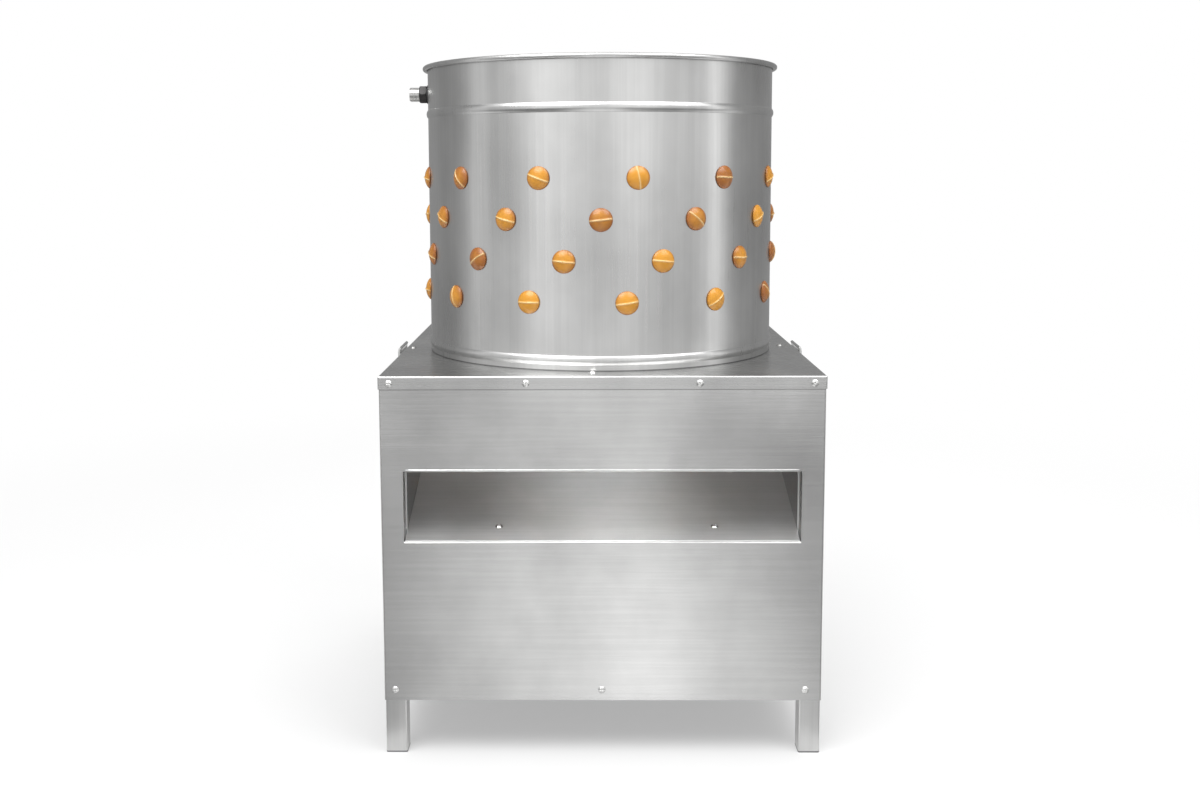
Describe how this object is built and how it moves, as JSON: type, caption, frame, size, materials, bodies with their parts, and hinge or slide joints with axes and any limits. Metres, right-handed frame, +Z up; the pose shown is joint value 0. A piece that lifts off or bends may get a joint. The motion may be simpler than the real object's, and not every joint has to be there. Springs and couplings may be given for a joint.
{
  "type": "poultry plucker",
  "caption": "Free-standing stainless tub plucker: a drum with rubber fingers over a rotating finger plate, a feather chute and a belt drive in a square cabinet.",
  "frame": {"origin": "on the floor, under the drum's axis", "axes": "+Z up along the drum axis, -Y towards the feather outlet, +X to the right seen from the front"},
  "size_m": [0.6226, 0.5798, 0.912],
  "materials": {
    "stainless_sheet": "satin brushed stainless sheet",
    "stainless_drum": "rolled stainless, satin with long soft reflections",
    "stainless_tube": "square stainless tube, satin",
    "bright_steel": "polished stainless",
    "turned_steel": "turned and ground steel",
    "dark_nut": "darkened steel nut",
    "finger_rubber": "glossy amber-orange rubber",
    "cast_iron": "painted cast iron",
    "motor_paint": "blue-grey hammered paint",
    "black_rubber": "matt black rubber",
    "grey_plastic": "fine-grained grey plastic",
    "black_plastic": "black nylon",
    "start_green": "glossy green",
    "stop_red": "glossy red"
  },
  "bodies": {
    "root": {"leg_front_left": "stainless_tube", "leg_front_right": "stainless_tube", "leg_rear_left": "stainless_tube", "leg_rear_right": "stainless_tube", "foot_plugs": "grey_plastic", "upper_rails": "stainless_tube", "lower_rails": "stainless_tube", "side_rails": "stainless_tube", "cross_rails": "stainless_tube", "front_panel": "stainless_sheet", "rear_panel": "stainless_sheet", "left_panel": "stainless_sheet", "right_panel": "stainless_sheet", "top_cover": "stainless_sheet", "chute_floor": "stainless_sheet", "chute_walls": "stainless_sheet", "chute_bearers": "stainless_tube", "shaft_collar": "stainless_drum", "drum_shell": "stainless_drum", "rim_ring": "stainless_drum", "drum_seat_ring": "stainless_drum", "wall_fingers_row_1": "finger_rubber", "wall_fingers_row_2": "finger_rubber", "wall_fingers_row_3": "finger_rubber", "wall_fingers_row_4": "finger_rubber", "bearing_housing": "cast_iron", "bearing_outer_rings": "turned_steel", "drive_plate": "stainless_tube", "drive_bolts": "bright_steel", "drive_belt": "black_rubber", "motor_frame": "motor_paint", "motor_fan_cover": "motor_paint", "terminal_box": "motor_paint", "inlet_nipple": "bright_steel", "inlet_nut": "dark_nut", "inlet_gasket": "black_rubber", "spray_ring": "stainless_drum", "ring_clips": "stainless_drum", "control_pan": "stainless_sheet", "switch_enclosure": "grey_plastic", "cable_gland": "black_plastic", "side_handles": "bright_steel", "dome_screws": "bright_steel"},
    "plate_rotor": {"feather_plate": "stainless_drum", "plate_fingers_inner": "finger_rubber", "plate_fingers_middle": "finger_rubber", "plate_fingers_outer": "finger_rubber", "plate_fingers_edge": "finger_rubber", "plate_hub": "cast_iron", "plate_bolts": "bright_steel", "spindle_cap_nut": "bright_steel", "spindle": "turned_steel", "splash_cap": "grey_plastic", "bearing_inner_rings": "turned_steel", "driven_pulley": "cast_iron"},
    "motor_rotor_body": {"motor_rotor": "turned_steel", "motor_fan": "black_plastic", "drive_pulley": "cast_iron"},
    "start_button_body": {"start_button": "start_green"},
    "stop_button_body": {"stop_button": "stop_red"}
  },
  "joints": [
    {"name": "plate_spin", "type": "hinge", "parent": "root", "child": "plate_rotor", "pos_m": [0, 0, 0.3], "axis": [0, 0, 1], "continuous": true},
    {"name": "motor_spin", "type": "hinge", "parent": "root", "child": "motor_rotor_body", "pos_m": [0, 0.175, 0.25], "axis": [0, 0, 1], "continuous": true},
    {"name": "start_press", "type": "slide", "parent": "root", "child": "start_button_body", "axis": [0, -1, 0], "range_m": [0, 0.004], "stiffness_N_per_m": 400},
    {"name": "stop_press", "type": "slide", "parent": "root", "child": "stop_button_body", "axis": [0, -1, 0], "range_m": [0, 0.004], "stiffness_N_per_m": 500}
  ],
  "couplings": [
    {"joint": "motor_spin", "follows": "plate_spin", "ratio": 3.6667}
  ]
}
